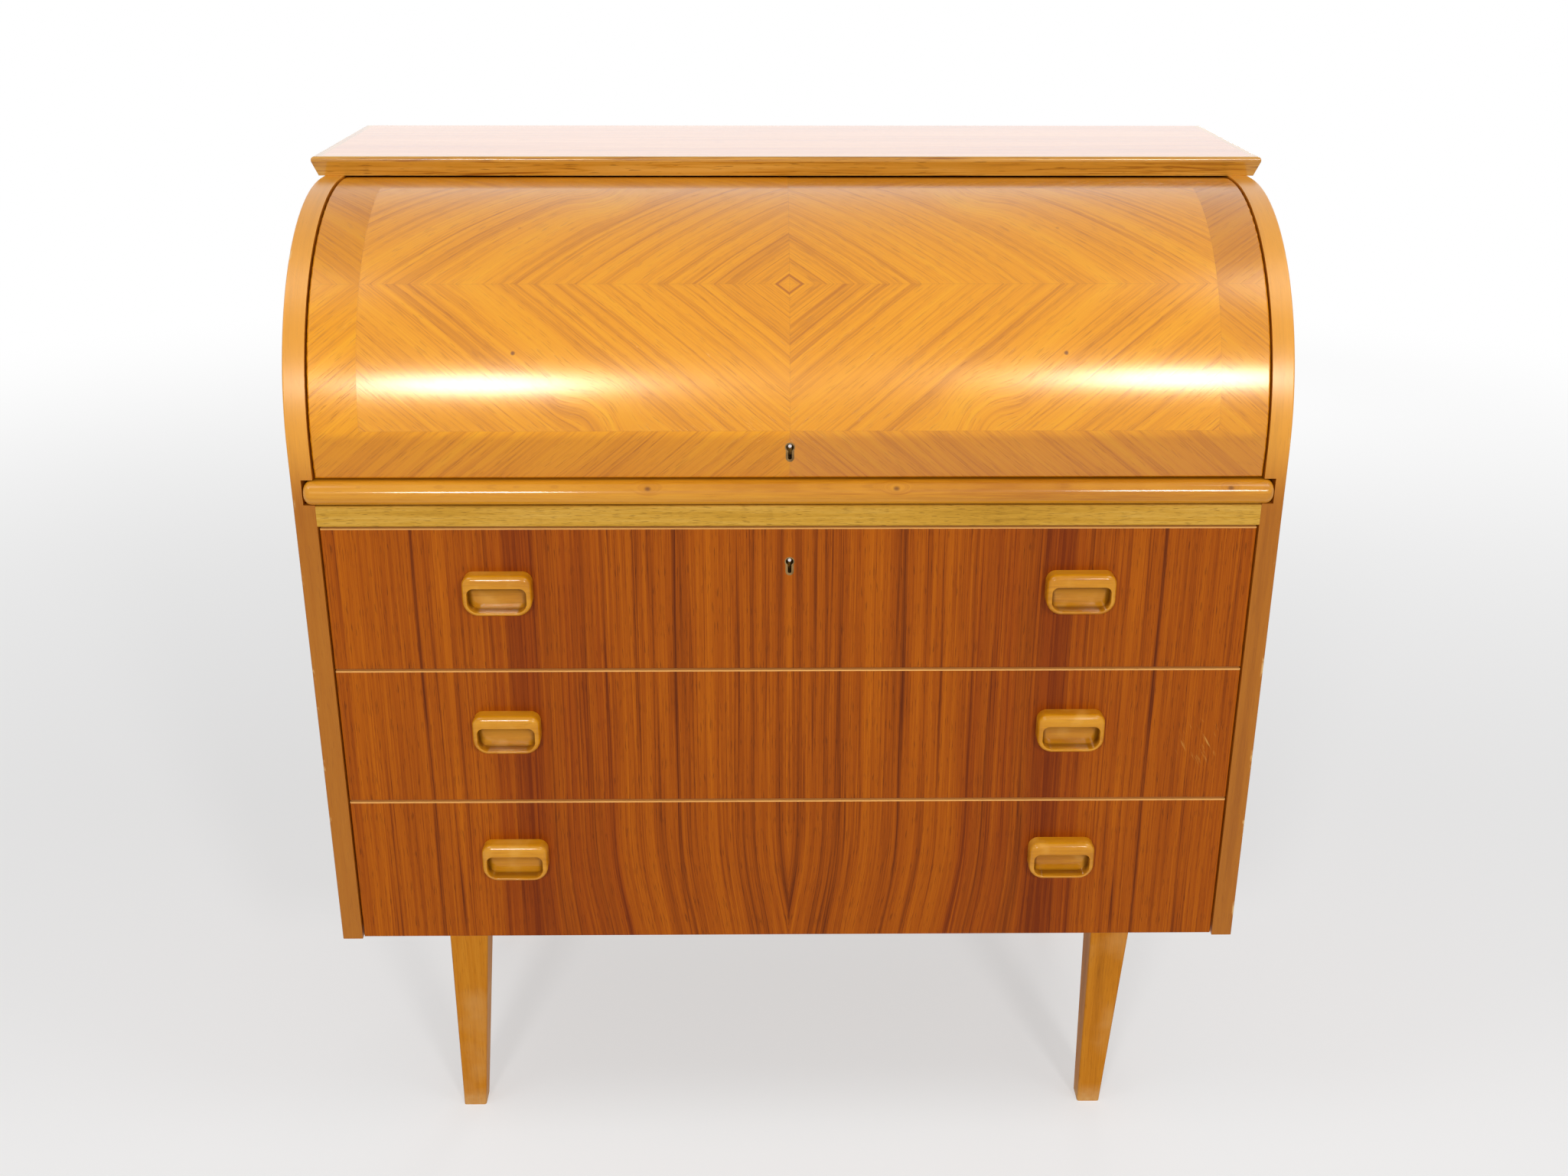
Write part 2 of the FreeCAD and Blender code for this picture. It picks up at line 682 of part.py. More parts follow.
def handle(name, x, z):
    """A carved pull: a rounded block with a finger recess that runs up behind its upper grip."""
    owner = body(name)
    half_width = d.handle_width / 2
    low = z - d.handle_height / 2
    high = z + d.handle_height / 2
    flat = sketch(owner, "XZ_Plane", -front_face)
    rectangle(flat, (x - half_width, x + half_width), (low, high))
    pad(owner, flat, d.handle_depth)
    dress(owner, "Fillet", [at(x=x - half_width, z=high), at(x=x + half_width, z=high)],
          Radius=d.handle_corner)
    dress(owner, "Fillet", [at(x=x - half_width, z=low), at(x=x + half_width, z=low)],
          Radius=d.handle_low_corner)
    dress(owner, "Fillet", [at(y=front_face - d.handle_depth)], Radius=d.handle_round)
    face = sketch(owner, "XZ_Plane", d.handle_depth - front_face)
    corner = d.recess_corner
    low_corner = d.recess_low_corner
    left = x - d.recess_width / 2
    right_side = x + d.recess_width / 2
    sill = low + d.recess_lip
    head = high - d.grip_height
    outline(face,
            (left + low_corner, sill),
            (right_side - low_corner, sill, right_side - low_corner, sill + low_corner, "left"),
            (right_side, sill + low_corner),
            (right_side, head - corner, right_side - corner, head - corner, "left"),
            (right_side - corner, head), (left + corner, head, left + corner, head - corner, "left"),
            (left, head - corner),
            (left, sill + low_corner, left + low_corner, sill + low_corner, "left"))
    pocket(owner, face, d.handle_depth - d.recess_floor)

    def recess_rim(edge):
        box = edge.BoundBox
        on_face = abs(box.YMin - (front_face - d.handle_depth).value) < 0.01 and box.YLength < 0.01
        inside = box.ZMin > sill.value - 0.01 and box.ZMax < head.value + 0.01
        return on_face and inside

    dress(owner, "Fillet", [recess_rim], Radius=d.recess_ease)
    finger = block(f"{name}_finger", (left + corner, right_side - corner),
                   (front_face - d.recess_floor - d.undercut_deep, front_face - d.recess_floor),
                   (head - corner, head + d.undercut_high))
    return cut(f"{name}_cut", owner, finger)


# Drawers: front, sides that run on hardwood runners, back, bottom and two handles each
front_half = inner - d.front_side_gap
side_out = inner - d.side_gap
side_in = side_out - d.side_thick
drawer_end = inner_back - d.drawer_rear_gap
lowest_side = bottom_top + d.drawer_floor_gap
runner_front = front + d.runner_start
runners = []
drawers = {
    "bottom_drawer": (low_base, d.front_low, lowest_side),
    "middle_drawer": (mid_base, d.front_mid, mid_base + d.side_rise),
    "top_drawer": (top_base, d.front_top, top_base + d.side_rise),
}
for name, (base, height, side_low) in drawers.items():
    head = base + height
    side_high = head - d.side_drop
    floor_low = side_low + d.bottom_rise
    floor_high = floor_low + d.drawer_bottom
    runner_z = (side_low + side_high) / 2
    runner_half = d.runner_high / 2
    face = board(f"{name}_board", (-front_half, front_half), (front_face, front_back), (base, head),
                 [at(y=front_face)], d.edge_round)
    if name == "top_drawer":
        key_z = head - d.drawer_key_drop
        key_y = (front_face, front_back)
        liner = keyhole("drawer_liner", d.key_radius, d.key_leg, d.key_drop, Size.of(0), key_y, key_z)
        hole = keyhole("drawer_bore", d.key_bore, d.key_slot, slot_drop, Size.of(0), key_y, key_z)
        face = cut("top_drawer_holed", face, liner)
        node(cut("drawer_rim", liner, hole), "drawer_keyhole")
        case, bolt = lock("drawer_lock", front_back, head - d.lock_edge - d.lock_height, 1, front_face,
                          key_z)
        node(case, "drawer_lock_case")
        node(bolt, "drawer_lock_bolt")
    node(face, f"{name}_front")
    wall = block(f"{name}_wall", (side_in, side_out), (front_back, drawer_end), (side_low, side_high))
    groove = block(f"{name}_groove", (inner - d.runner_wide - d.runner_gap, inner),
                   (runner_front - d.side_gap, drawer_end),
                   (runner_z - runner_half - d.runner_gap, runner_z + runner_half + d.runner_gap))
    slot = block(f"{name}_slot", (side_in, side_in + d.bottom_groove), (front_back, drawer_end),
                 (floor_low, floor_high))
    side_right = node(cut(f"{name}_side", wall, groove, slot), f"{name}_side_right")
    node(mirror(f"{name}_side_l", side_right), f"{name}_side_left")
    node(block(f"{name}_rear", (-side_in, side_in), (drawer_end - d.drawer_back, drawer_end),
               (floor_high, side_high)), f"{name}_back")
    floor_half = side_in + d.bottom_groove
    node(block(f"{name}_floor", (-floor_half, floor_half), (front_back, drawer_end),
               (floor_low, floor_high)), f"{name}_bottom")
    grip_z = head - d.handle_drop
    grips = [handle(f"{name}_handle_{side}", way * d.handle_spread, grip_z)
             for side, way in (("left", -1), ("right", 1))]
    node(group(f"{name}_grips", *grips), f"{name}_handles")
    runner = block(f"{name}_runner", (inner - d.runner_wide, inner), (runner_front, inner_back),
                   (runner_z - runner_half, runner_z + runner_half))
    runners += [runner, mirror(f"{name}_runner_l", runner)]
node(group("runners", *runners), "drawer_runners")

# Pigeonholes over the writing slide, inside the roll's sweep
unit_front = axis_y - d.pigeon_front
unit_rear = axis_y + d.pigeon_rear
reach = roll_inner - d.pigeon_clear
unit_top = axis_z + root(reach * reach - d.pigeon_rear * d.pigeon_rear)
unit_half = arm_face - d.arm_thick - d.pigeon_side
end_in = unit_half - d.pigeon_board
ceiling = unit_top - d.pigeon_board
unit_back = unit_rear - d.pigeon_back
unit_y = (unit_front, unit_back)
shelf_low = pigeon_floor + d.tray_height + 2 * d.tray_gap
shelf_z = (shelf_low, shelf_low + d.pigeon_board)
bay_out = d.pigeon_bay + d.pigeon_board
node(block("pigeon_base", (-inner, inner), (unit_front, unit_rear), (pigeon_low, pigeon_floor)),
     "pigeonhole_base")
node(block("pigeon_top", (-unit_half, unit_half), (unit_front, unit_rear), (ceiling, unit_top)),
     "pigeonhole_top")
node(block("pigeon_rear_sheet", (-unit_half, unit_half), (unit_back, unit_rear), (pigeon_floor, ceiling)),
     "pigeonhole_back")
end_right = block("pigeon_end", (end_in, unit_half), unit_y, (pigeon_floor, ceiling))
node(group("pigeon_ends", mirror("pigeon_end_l", end_right), end_right), "pigeonhole_ends")
divider = block("divider", (d.pigeon_bay, bay_out), unit_y, (pigeon_floor, ceiling))
node(group("dividers", mirror("divider_l", divider), divider), "pigeonhole_dividers")
shelf_right = block("shelf_side", (bay_out, end_in), unit_y, shelf_z)
shelf_middle = block("shelf_middle", (-d.pigeon_bay, d.pigeon_bay), unit_y, shelf_z)
node(group("shelves", mirror("shelf_side_l", shelf_right), shelf_middle, shelf_right), "pigeonhole_shelves")

# Two small drawers below the side shelves
tray_x = (bay_out + d.tray_gap, end_in - d.tray_gap)
tray_low = pigeon_floor + d.tray_gap / 2
tray_high = tray_low + d.tray_height
tray_face = unit_front + d.tray_front
tray_end = unit_back - d.tray_rear_gap
tray_front = board("tray_front", tray_x, (unit_front, tray_face), (tray_low, tray_high),
                   [at(y=unit_front)], d.edge_round)
tray_block = block("tray_block", tray_x, (tray_face, tray_end), (tray_low, tray_high - d.tray_wall))
tray_hollow = block("tray_hollow", (tray_x[0] + d.tray_wall, tray_x[1] - d.tray_wall),
                    (tray_face + d.tray_wall, tray_end - d.tray_wall), (tray_low + d.tray_floor, tray_high))
tray_box = cut("tray_box", tray_block, tray_hollow)
knob_x = (tray_x[0] + tray_x[1]) / 2
knob_z = (tray_low + tray_high) / 2
knob_tip = unit_front - d.knob_depth
dome_rim = knob_tip + d.knob_dome
knob_back = dome_rim + d.knob_rim
dome_centre = knob_tip + (d.knob_radius * d.knob_radius + d.knob_dome * d.knob_dome) / (2 * d.knob_dome)
knob = body("knob")
turned = sketch(knob, "XY_Plane", knob_z)
outline(turned, (0, knob_tip, 0, dome_centre, "left"), (d.knob_radius, dome_rim),
        (d.knob_radius, knob_back), (d.knob_neck, knob_back), (d.knob_neck, unit_front), (0, unit_front))
turning = knob.newObject("PartDesign::Revolution", "knob_turning")
turning.Profile = turned
turning.ReferenceAxis = (turned, ["V_Axis"])
turning.Angle = 360
place(knob, knob_x, 0, 0)
for piece, thing in (("front", tray_front), ("box", tray_box), ("knob", knob)):
    node(thing, f"small_drawer_right_{piece}")
    node(mirror(f"small_{piece}_l", thing), f"small_drawer_left_{piece}")

# Check everything, then write one file for each sub-part
doc.recompute()
for thing in doc.Objects:
    if {"Invalid", "Error"} & set(thing.State):
        raise ValueError(f"{thing.Name} failed: {thing.State}")
for thing in nodes:
    if thing.Shape.isNull() or not thing.Shape.isValid() or not thing.Shape.Solids:
        raise ValueError(f"{thing.Label} has no valid solid")
os.makedirs("parts", exist_ok=True)
for thing in nodes:
    thing.Shape.exportStep(f"parts/{thing.Label}.step")
print(len(nodes), "sub-parts written")
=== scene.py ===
"""Finish, light and view of a roll top secretary desk.

Metres, in the desk's own frame: X to the right, the front faces -Y, Z up from the floor.
"""
import json
import math
import bpy
from mathutils import Matrix, Vector
from types import SimpleNamespace


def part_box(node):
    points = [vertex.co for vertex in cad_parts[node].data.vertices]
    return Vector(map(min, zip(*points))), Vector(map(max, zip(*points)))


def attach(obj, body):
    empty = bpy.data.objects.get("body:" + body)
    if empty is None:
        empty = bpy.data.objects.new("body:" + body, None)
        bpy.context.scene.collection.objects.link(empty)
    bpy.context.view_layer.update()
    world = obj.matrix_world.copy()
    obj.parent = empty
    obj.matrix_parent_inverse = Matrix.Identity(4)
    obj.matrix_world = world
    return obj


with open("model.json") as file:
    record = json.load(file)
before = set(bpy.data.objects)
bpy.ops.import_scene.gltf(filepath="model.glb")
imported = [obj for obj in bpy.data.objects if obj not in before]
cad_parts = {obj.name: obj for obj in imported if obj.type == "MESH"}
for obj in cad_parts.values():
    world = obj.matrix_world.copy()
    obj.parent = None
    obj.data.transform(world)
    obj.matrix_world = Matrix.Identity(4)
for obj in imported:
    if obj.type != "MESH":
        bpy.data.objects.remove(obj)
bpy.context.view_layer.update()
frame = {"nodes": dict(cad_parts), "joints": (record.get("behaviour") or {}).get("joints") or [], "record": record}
MM = 0.001

# Places taken from the frame
roll_low, roll_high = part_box("roll_panel")
side_low, side_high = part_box("side_panel_right")
board_low, board_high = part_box("top_board")
front_low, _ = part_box("bottom_drawer_front")
_, bar_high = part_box("writing_bar")
axis = Vector(next(j for j in frame["joints"] if j["name"] == "roll_turn")["pos_m"])
roll_radius = axis.y - roll_low.y
case_radius = axis.y - side_low.y
DRAWERS = ("bottom_drawer", "middle_drawer", "top_drawer")


# Shader arithmetic
def rgb(red, green, blue):
    """A colour as it looks, 0 to 255, as the light that a shader takes."""
    parts = [part / 255 for part in (red, green, blue)]
    return tuple(p / 12.92 if p <= 0.04045 else ((p + 0.055) / 1.055) ** 2.4 for p in parts) + (1.0,)


class Wire:
    """A value inside a finish. Sums on wires add Math nodes, and node() adds any other kind."""

    def __init__(self, tree, socket=None):
        self.tree = tree
        self.socket = socket

    def node(self, kind, settings=None, inputs=None, output=0):
        """Adds a node: its settings first, then the values or links of its sockets."""
        made = self.tree.nodes.new(kind)
        for name, value in (settings or {}).items():
            if name == "stops":
                set_stops(made.color_ramp, value)
            else:
                setattr(made, name, value)
        for name, value in (inputs or {}).items():
            if isinstance(value, Wire):
                self.tree.links.new(value.socket, made.inputs[name])
            else:
                made.inputs[name].default_value = value
        return Wire(self.tree, made.outputs[output] if made.outputs else None)

    def beside(self, output):
        """Another output of the node that this wire leaves."""
        return Wire(self.tree, self.socket.node.outputs[output])

    def math(self, operation, *others):
        """A sum of this wire and others, by the name of the operation."""
        return self.node("ShaderNodeMath", {"operation": operation}, dict(enumerate((self, *others))))

    def __add__(self, other):
        return self.math("ADD", other)

    def __radd__(self, other):
        return self.math("ADD", other)

    def __sub__(self, other):
        return self.math("SUBTRACT", other)

    def __rsub__(self, other):
        return self.node("ShaderNodeMath", {"operation": "SUBTRACT"}, {0: other, 1: self})

    def __mul__(self, other):
        return self.math("MULTIPLY", other)

    def __rmul__(self, other):
        return self.math("MULTIPLY", other)

    def __abs__(self):
        return self.math("ABSOLUTE")


def set_stops(ramp, stops):
    """Gives a colour ramp its stops, as (place, colour)."""
    while len(ramp.elements) < len(stops):
        ramp.elements.new(1.0)
    for element, (place, colour) in zip(ramp.elements, stops):
        element.position = place
        element.color = colour


def rise(value, low, high):
    """0 below low, 1 above high, smooth between."""
    return value.node("ShaderNodeMapRange", {"interpolation_type": "SMOOTHSTEP"},
                      {0: value, 1: low, 2: high})


def fall(value, low, high):
    """1 below low, 0 above high, smooth between."""
    return 1 - rise(value, low, high)


def past_seam(value):
    """0 on the near side of a veneer seam, 1 on the far side."""
    return rise(value, -SEAM, SEAM)


def mix(first, second, amount):
    """From the first colour to the second."""
    wire = next(item for item in (first, second, amount) if isinstance(item, Wire))
    return wire.node("ShaderNodeMix", {"data_type": "RGBA"}, {0: amount, 6: first, 7: second}, output=2)


def far_from(across, up, spot):
    """Distance from a spot on a surface."""
    side = across - spot[0]
    over = up - spot[1]
    return (side * side + over * over).math("SQRT")


class Finish:
    """A material in the making, with wires for the place of a point on the resting desk."""

    def __init__(self, name):
        self.material = bpy.data.materials.new(name)
        self.material.use_nodes = True
        self.tree = self.material.node_tree
        self.tree.nodes.clear()
        self.here = Wire(self.tree).node("ShaderNodeTexCoord", output="Object")
        self.x = self.here.node("ShaderNodeSeparateXYZ", None, {0: self.here})
        self.y = self.x.beside(1)
        self.z = self.x.beside(2)

    def cloud(self, size, seed=0.0, detail=2.0):
        """Even noise with lumps of about the given size."""
        moved = self.here.node("ShaderNodeMapping", None,
                               {"Vector": self.here, "Location": (seed, seed, seed)})
        return self.here.node("ShaderNodeTexNoise", None,
                              {"Vector": moved, "Scale": 1 / size, "Detail": detail})

    def coat(self, colour, rough, height=None, depth=0.05 * MM, **fixed):
        """Closes the material: colour, roughness, relief of a depth, and other sockets by their names."""
        inputs = {"Base Color": colour, "Roughness": rough}
        inputs.update({name.replace("_", " "): value for name, value in fixed.items()})
        if height is not None:
            inputs["Normal"] = height.node("ShaderNodeBump", None,
                                           {"Strength": 1.0, "Distance": depth, "Height": height})
        shader = self.here.node("ShaderNodeBsdfPrincipled", None, inputs)
        self.here.node("ShaderNodeOutputMaterial", None, {"Surface": shader})
        return self.material


# Woods
SEAM = 0.1 * MM
LINE_SEED, FIBRE_SEED, PORE_SEED, VEIN_SEED, VEIN_SHARE_SEED = 5.3, 11.7, 17.9, 23.1, 29.5
PORE_STRETCH = 22.0
PORE_EDGE = 0.08
VEIN_EDGE = (0.003, 0.028)
VEIN_SHARE = (0.22, 0.55)
TONE_PLACES = (0.12, 0.48, 0.88)


def streaks(across, along, seed, count, stretch, detail=3.0, twist=0.0):
    """Noise drawn out along the grain: count streaks to the metre, each stretch times as long as wide."""
    spot = across.node("ShaderNodeCombineXYZ", None,
                       {0: across * count, 1: along * (count / stretch), 2: seed})
    return across.node("ShaderNodeTexNoise", None,
                       {"Vector": spot, "Scale": 1.0, "Detail": detail, "Roughness": 0.55,
                        "Distortion": twist})


def wood_look(dark, mid, light, pore, **changes):
    """How a wood looks: colours from dark to light, and its streaks to the metre."""
    look = SimpleNamespace(dark=rgb(*dark), mid=rgb(*mid), light=rgb(*light), pore=rgb(*pore),
                           bands=28, band_depth=0.9, lines=150, line_depth=0.7,
                           fibres=700, fibre_depth=0.45, stretch=40, twist=0.3,
                           pores=1100, pore_depth=0.5, pore_share=0.62, veins=90, vein_depth=0.0)
    for name, value in changes.items():
        setattr(look, name, value)
    return look


def timber(across, along, seed, look, extra=None):
    """Colour and relief of planed wood, with across and along the grain in metres.
    extra darkens or lightens the tone where the figure needs it."""
    band = streaks(across, along, seed, look.bands, look.stretch * 0.6, 2.0, look.twist)
    line = streaks(across, along, seed + LINE_SEED, look.lines, look.stretch, 3.0, look.twist)
    fibre = streaks(across, along, seed + FIBRE_SEED, look.fibres, look.stretch * 0.7)
    pore = rise(streaks(across, along, seed + PORE_SEED, look.pores, PORE_STRETCH, 1.0),
                look.pore_share, look.pore_share + PORE_EDGE)
    tone = ((band - 0.5) * look.band_depth + (line - 0.5) * look.line_depth
            + (fibre - 0.5) * look.fibre_depth + 0.5)
    if look.vein_depth:
        vein = streaks(across, along, seed + VEIN_SEED, look.veins, look.stretch, 2.0, look.twist)
        share = rise(streaks(across, along, seed + VEIN_SHARE_SEED, look.veins * 0.6, look.stretch * 0.3),
                     *VEIN_SHARE)
        tone = tone - fall(abs(vein - 0.5), *VEIN_EDGE) * share * look.vein_depth
    if extra is not None:
        tone = tone + extra
    stops = list(zip(TONE_PLACES, (look.dark, look.mid, look.light)))
    colour = tone.node("ShaderNodeValToRGB", {"stops": stops}, {0: tone})
    colour = mix(colour, look.pore, pore * look.pore_depth)
    return colour, fibre * 0.6 + line * 0.5 - pore


GOLD = wood_look((174, 95, 1), (222, 141, 1), (235, 163, 10), (154, 80, 1),
                 bands=34, band_depth=0.5, lines=210, line_depth=0.6, fibres=800, fibre_depth=0.6,
                 stretch=150, pore_depth=0.35, twist=0.1, veins=60, vein_depth=0.14)
TEAK = wood_look((96, 37, 1), (152, 71, 1), (186, 99, 4), (76, 30, 1),
                 bands=16, band_depth=0.85, lines=230, line_depth=0.6, fibres=900, fibre_depth=0.7,
                 pore_depth=0.5, stretch=150, twist=0.1, veins=90, vein_depth=0.2)
TEAK_SIDE = wood_look((128, 64, 8), (174, 98, 18), (196, 120, 32), (98, 48, 6),
                      bands=26, lines=140, stretch=60, pore_depth=0.45)
TEAK_TOP = wood_look((168, 88, 30), (206, 126, 58), (224, 150, 84), (136, 68, 22), bands=26, lines=130)
EDGING = wood_look((152, 93, 18), (199, 140, 42), (220, 167, 74), (122, 76, 14),
                   bands=70, band_depth=0.9, lines=320, line_depth=0.9, stretch=60, pore_depth=0.55,
                   veins=220, vein_depth=0.3)
HONEY = wood_look((150, 86, 8), (196, 122, 22), (214, 142, 38), (130, 72, 8),
                  bands=40, line_depth=0.5, pore_depth=0.3)
PALE = wood_look((164, 119, 31), (196, 147, 50), (214, 170, 80), (118, 81, 22),
                 bands=60, lines=300, fibres=1300, pores=1900, pore_depth=0.65, pore_share=0.6, stretch=30)
AMBER = wood_look((170, 99, 12), (205, 137, 26), (220, 156, 46), (148, 86, 12),
                  bands=44, line_depth=0.5, pore_depth=0.2)
HANDLE = wood_look((166, 95, 4), (200, 132, 12), (216, 151, 28), (142, 79, 4),
                   bands=70, lines=240, line_depth=0.45, fibre_depth=0.3, pore_depth=0.2, stretch=20)
LEG = wood_look((152, 88, 10), (191, 118, 20), (207, 138, 36), (132, 73, 8),
                bands=40, line_depth=0.5, pore_depth=0.3)
INNER = wood_look((176, 132, 78), (208, 168, 112), (224, 190, 138), (150, 108, 62),
                  bands=36, line_depth=0.5, pore_depth=0.25)
SHEET = wood_look((112, 78, 46), (138, 100, 62), (156, 118, 78), (92, 62, 36),
                  bands=20, lines=90, stretch=8, pore_depth=0.3)

# Coats over the woods
LACQUER = {"Coat_Roughness": 0.2, "Specular_IOR_Level": 0.75, "Specular_Tint": rgb(255, 217, 146)}
EDGE_COAT = {"Coat_Roughness": 0.3, "Specular_IOR_Level": 0.5, "Specular_Tint": rgb(255, 216, 150)}
GRIP_COAT = {"Coat_Roughness": 0.07, "Specular_IOR_Level": 0.05}
POLISH = {"Coat_Weight": 1.0, "Coat_Roughness": 0.17, "Specular_IOR_Level": 0.05}
SATIN = {"Coat_Weight": 0.12, "Coat_Roughness": 0.3, "Specular_IOR_Level": 0.06}
GLOSSY = {"Coat_Weight": 0.6, "Coat_Roughness": 0.1, "Specular_IOR_Level": 0.08}
BARE = {"Specular_IOR_Level": 0.3}

# Roll: four leaves matched to a diamond, with a band of cross-laid veneer round them
MATCH_ANGLE = math.radians(42.2)
LEAF_GRAIN = math.radians(40)
BAND = 44 * MM
CROWN_ANGLE = math.radians(80.5)
SKIN = (2.6 * MM, 1.8 * MM)
DRIFT = 8 * MM
HEART = (8 * MM, 46 * MM)
HEART_LINES = 210.0
BURR = (170 * MM, 110.7 * MM)
BURR_SIZE = (6 * MM, 42 * MM)
BURR_BEND = 12 * MM
PIN_KNOT = (246 * MM, 65.2 * MM)
PIN_KNOT_SIZE = (0.4 * MM, 2.6 * MM)
BAND_SHADE = rgb(146, 72, 0)
ROLL_RELIEF = 0.12 * MM


def roll_veneer():
    """Roll: figured leaves and band outside, plain wood inside."""
    f = Finish("roll_veneer")
    back = axis.y - f.y
    up = f.z - axis.z
    arc = up.math("ARCTAN2", back) * roll_radius
    above = arc - roll_radius * MATCH_ANGLE
    side = abs(f.x)
    lift = abs(above)
    leaf = past_seam(f.x) * 0.16 + past_seam(above) * 0.1
    right = rise(f.x, -1 * MM, 1 * MM)

    swirl = fall(far_from(side, lift, BURR), *BURR_SIZE)
    drift = streaks(side, lift, 3.0 + leaf, 5.0, 1.0, 2.0) * DRIFT
    across = side * math.sin(LEAF_GRAIN) + lift * math.cos(LEAF_GRAIN) + drift + swirl * BURR_BEND
    along = side * math.cos(LEAF_GRAIN) - lift * math.sin(LEAF_GRAIN)
    lower = fall(above, -1 * MM, 1 * MM)
    knot = fall(far_from(side, lift, PIN_KNOT), *PIN_KNOT_SIZE) * (lower * 0.8 + 0.2)
    heart = fall(across, *HEART) * rise(streaks(across, along, 33.0, HEART_LINES, 260.0, 1.0), 0.48, 0.6)
    figure = swirl * 0.12 - knot * 0.6 - heart * 0.42
    field, field_relief = timber(across, along, 1.0 + leaf, GOLD, figure)
    field = mix(field, rgb(104, 56, 16), knot * 0.8)

    band_across = side * math.sin(LEAF_GRAIN) - lift * math.cos(LEAF_GRAIN) + drift * 0.7
    band_along = side * math.cos(LEAF_GRAIN) + lift * math.sin(LEAF_GRAIN)
    end_depth = roll_high.x - side
    foot_depth = f.z - roll_low.z
    crown_depth = CROWN_ANGLE * roll_radius + BAND - arc
    level_depth = foot_depth.math("MINIMUM", crown_depth)
    strip = past_seam(end_depth - level_depth) * 2.7
    band, band_relief = timber(band_across, band_along, 6.0 + strip + leaf, GOLD)
    inset = end_depth.math("MINIMUM", level_depth)
    in_band = fall(inset, BAND - SEAM, BAND + SEAM)
    at_foot = fall(foot_depth, BAND * 0.8, BAND)
    high = rise(above, -40 * MM, 20 * MM)
    band = mix(band, BAND_SHADE, at_foot * 0.32 + high * 0.24 + right * 0.12)

    colour = mix(field, band, in_band)
    joint = fall(abs(inset - BAND), SEAM, 0.7 * MM)
    seams = fall(side.math("MINIMUM", lift), SEAM, 0.5 * MM)
    colour = mix(colour, rgb(150, 86, 18), (joint * 0.12).math("MAXIMUM", seams * 0.2))
    out = (back * back + up * up).math("SQRT")
    skin = rise(out, *(roll_radius - depth for depth in SKIN))
    inner_face, _ = timber(arc, f.x, 21.0, HONEY)
    colour = mix(inner_face, colour, skin)
    relief = field_relief * (1 - in_band) + band_relief * in_band
    dull = in_band * (1 - right)
    return f.coat(colour, dull * 0.07 + 0.25, relief, ROLL_RELIEF,
                  Coat_Weight=0.85 - dull * 0.35, **LACQUER)


# Drawer fronts: one upright veneer over all three, matched at the middle.
# Each dark streak is a place from the middle and a width in millimetres, and a depth of tone.
STREAKS = ((395, 5, 0.16), (347, 3.5, 0.5), (335, 9, 0.16), (279, 3, 0.42), (256, 13, 0.28), (222, 6, 0.12),
           (188, 9, 0.2), (173, 3, 0.5), (162, 8, 0.2), (128, 5, 0.14), (107, 3, 0.5), (99, 7, 0.16),
           (51, 6, 0.2), (34, 3, 0.32), (9, 4, 0.26))
RED_RISE = (160 * MM, 172 * MM)
RED_FALL = (278 * MM, 286 * MM)
FLARE = 0.42
FLARE_TOP = 0.42
FLARE_DROP = 0.2
FLARE_FADE = (0.17, 0.31)
SCUFF = (0.398, 0.470)
SCUFF_SIZE = (6 * MM, 30 * MM)
FACE_DEPTH = (1.4 * MM, 1.8 * MM)
TOP_LINE = (0.8 * MM, 1.2 * MM)


def drawer_veneer():
    """Drawer fronts: streaked veneer in front, pale edges that show as a line over each drawer."""
    f = Finish("drawer_veneer")
    side = abs(f.x)
    leaf = past_seam(f.x) * 0.12
    low = fall(f.z, FLARE_TOP - FLARE_DROP, FLARE_TOP) * FLARE_DROP * fall(side, *FLARE_FADE)
    wander = (streaks(side, f.z, 2.0 + leaf, 9.0, 7.0, 2.0) - 0.5) * (8 * MM)
    across = side + low * low * FLARE + wander
    dark = 0
    for place, width, depth in STREAKS:
        dark = fall(abs(across - place * MM), 0.2 * width * MM, 0.9 * width * MM) * depth + dark
    patchy = streaks(across, f.z, 8.0, 60.0, 16.0, 2.0) + 0.5
    red = (rise(across, *RED_RISE) * fall(across, *RED_FALL)
           * rise(streaks(across, f.z, 19.0, 40.0, 60.0, 2.0), 0.3, 0.6))
    face, relief = timber(across, f.z, 4.0 + leaf, TEAK, dark * patchy * -0.6 - red * 0.14 + 0.08)
    face = mix(face, rgb(136, 50, 2), red * 0.35)
    scuff = (fall(far_from(f.x, f.z, SCUFF), *SCUFF_SIZE)
             * rise(streaks(f.x + f.z * 0.5, f.z, 5.0, 260.0, 6.0, 4.0), 0.56, 0.66))
    face = mix(face, rgb(205, 150, 70), scuff * 0.6)
    depth = f.y - front_low.y
    edge, _ = timber(depth, f.x, 14.0, PALE)
    top_line = 0
    for name in DRAWERS:
        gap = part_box(f"{name}_front")[1].z - f.z
        top_line = fall(abs(gap), *TOP_LINE) + top_line
    inside = rise(depth, *FACE_DEPTH)
    colour = mix(face, mix(edge, rgb(238, 176, 104), 0.7), inside.math("MAXIMUM", top_line))
    return f.coat(colour, 0.5, relief, 0.05 * MM, **SATIN)


# Side panels and top board
BEND_START = -60 * MM
BEND_END = 20 * MM
EDGE_DEPTH = (1.2 * MM, 1.6 * MM)
BOARD_EDGE = 9 * MM
MITRE = 0.2 * MM


